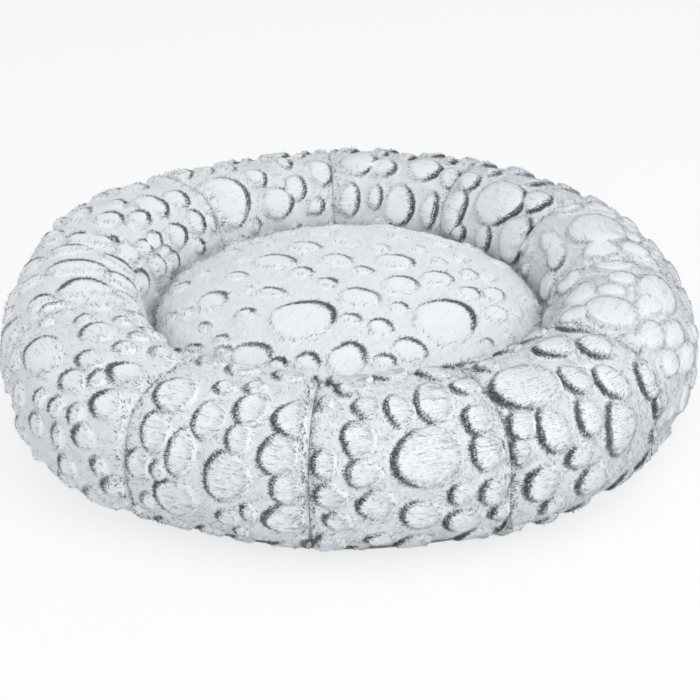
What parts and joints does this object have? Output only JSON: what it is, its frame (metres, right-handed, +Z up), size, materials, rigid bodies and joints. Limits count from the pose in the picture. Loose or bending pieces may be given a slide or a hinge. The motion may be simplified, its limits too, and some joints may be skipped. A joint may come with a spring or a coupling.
{
  "type": "round plush pet bed",
  "caption": "Round plush pet bed: a stuffed bolster ring sewn from plush panels around a well, a sewn base under it, and a loose domed cushion that lifts out of the well.",
  "frame": {"origin": "centre of the bed's outline on the floor, at the under cloth's lower face", "axes": "+Z up out of the well, -Y towards the front that the picture shows, +X to the right of that front"},
  "size_m": [0.4962, 0.4838, 0.1109],
  "materials": {
    "plush": "long sculpted plush, white with grey hairs on one side of each raised spot",
    "under_cloth": "plain woven polyester, matt",
    "lining": "plain woven polyester, matt",
    "filling": "polyester fibre filling",
    "thread": "polyester sewing thread"
  },
  "bodies": {
    "bed": {"bolster_panel_01": "plush", "bolster_panel_02": "plush", "bolster_panel_03": "plush", "bolster_panel_04": "plush", "bolster_panel_05": "plush", "bolster_panel_06": "plush", "bolster_panel_07": "plush", "bolster_panel_08": "plush", "bolster_panel_09": "plush", "bolster_panel_10": "plush", "bolster_panel_11": "plush", "seam_thread_01": "thread", "seam_thread_02": "thread", "seam_thread_03": "thread", "seam_thread_04": "thread", "seam_thread_05": "thread", "seam_thread_06": "thread", "seam_thread_07": "thread", "seam_thread_08": "thread", "seam_thread_09": "thread", "seam_thread_10": "thread", "seam_thread_11": "thread", "bolster_filling": "filling", "base_under_cloth": "under_cloth", "base_wadding": "filling", "base_floor_lining": "lining", "base_outer_thread": "thread", "base_inner_thread": "thread"},
    "cushion": {"cushion_top_panel": "plush", "cushion_under_panel": "lining", "cushion_filling": "filling", "cushion_edge_thread": "thread"}
  },
  "joints": [
    {"name": "cushion_lift", "type": "slide", "parent": "bed", "child": "cushion", "axis": [0, 0, 1], "range_m": [0, 0.25]}
  ]
}
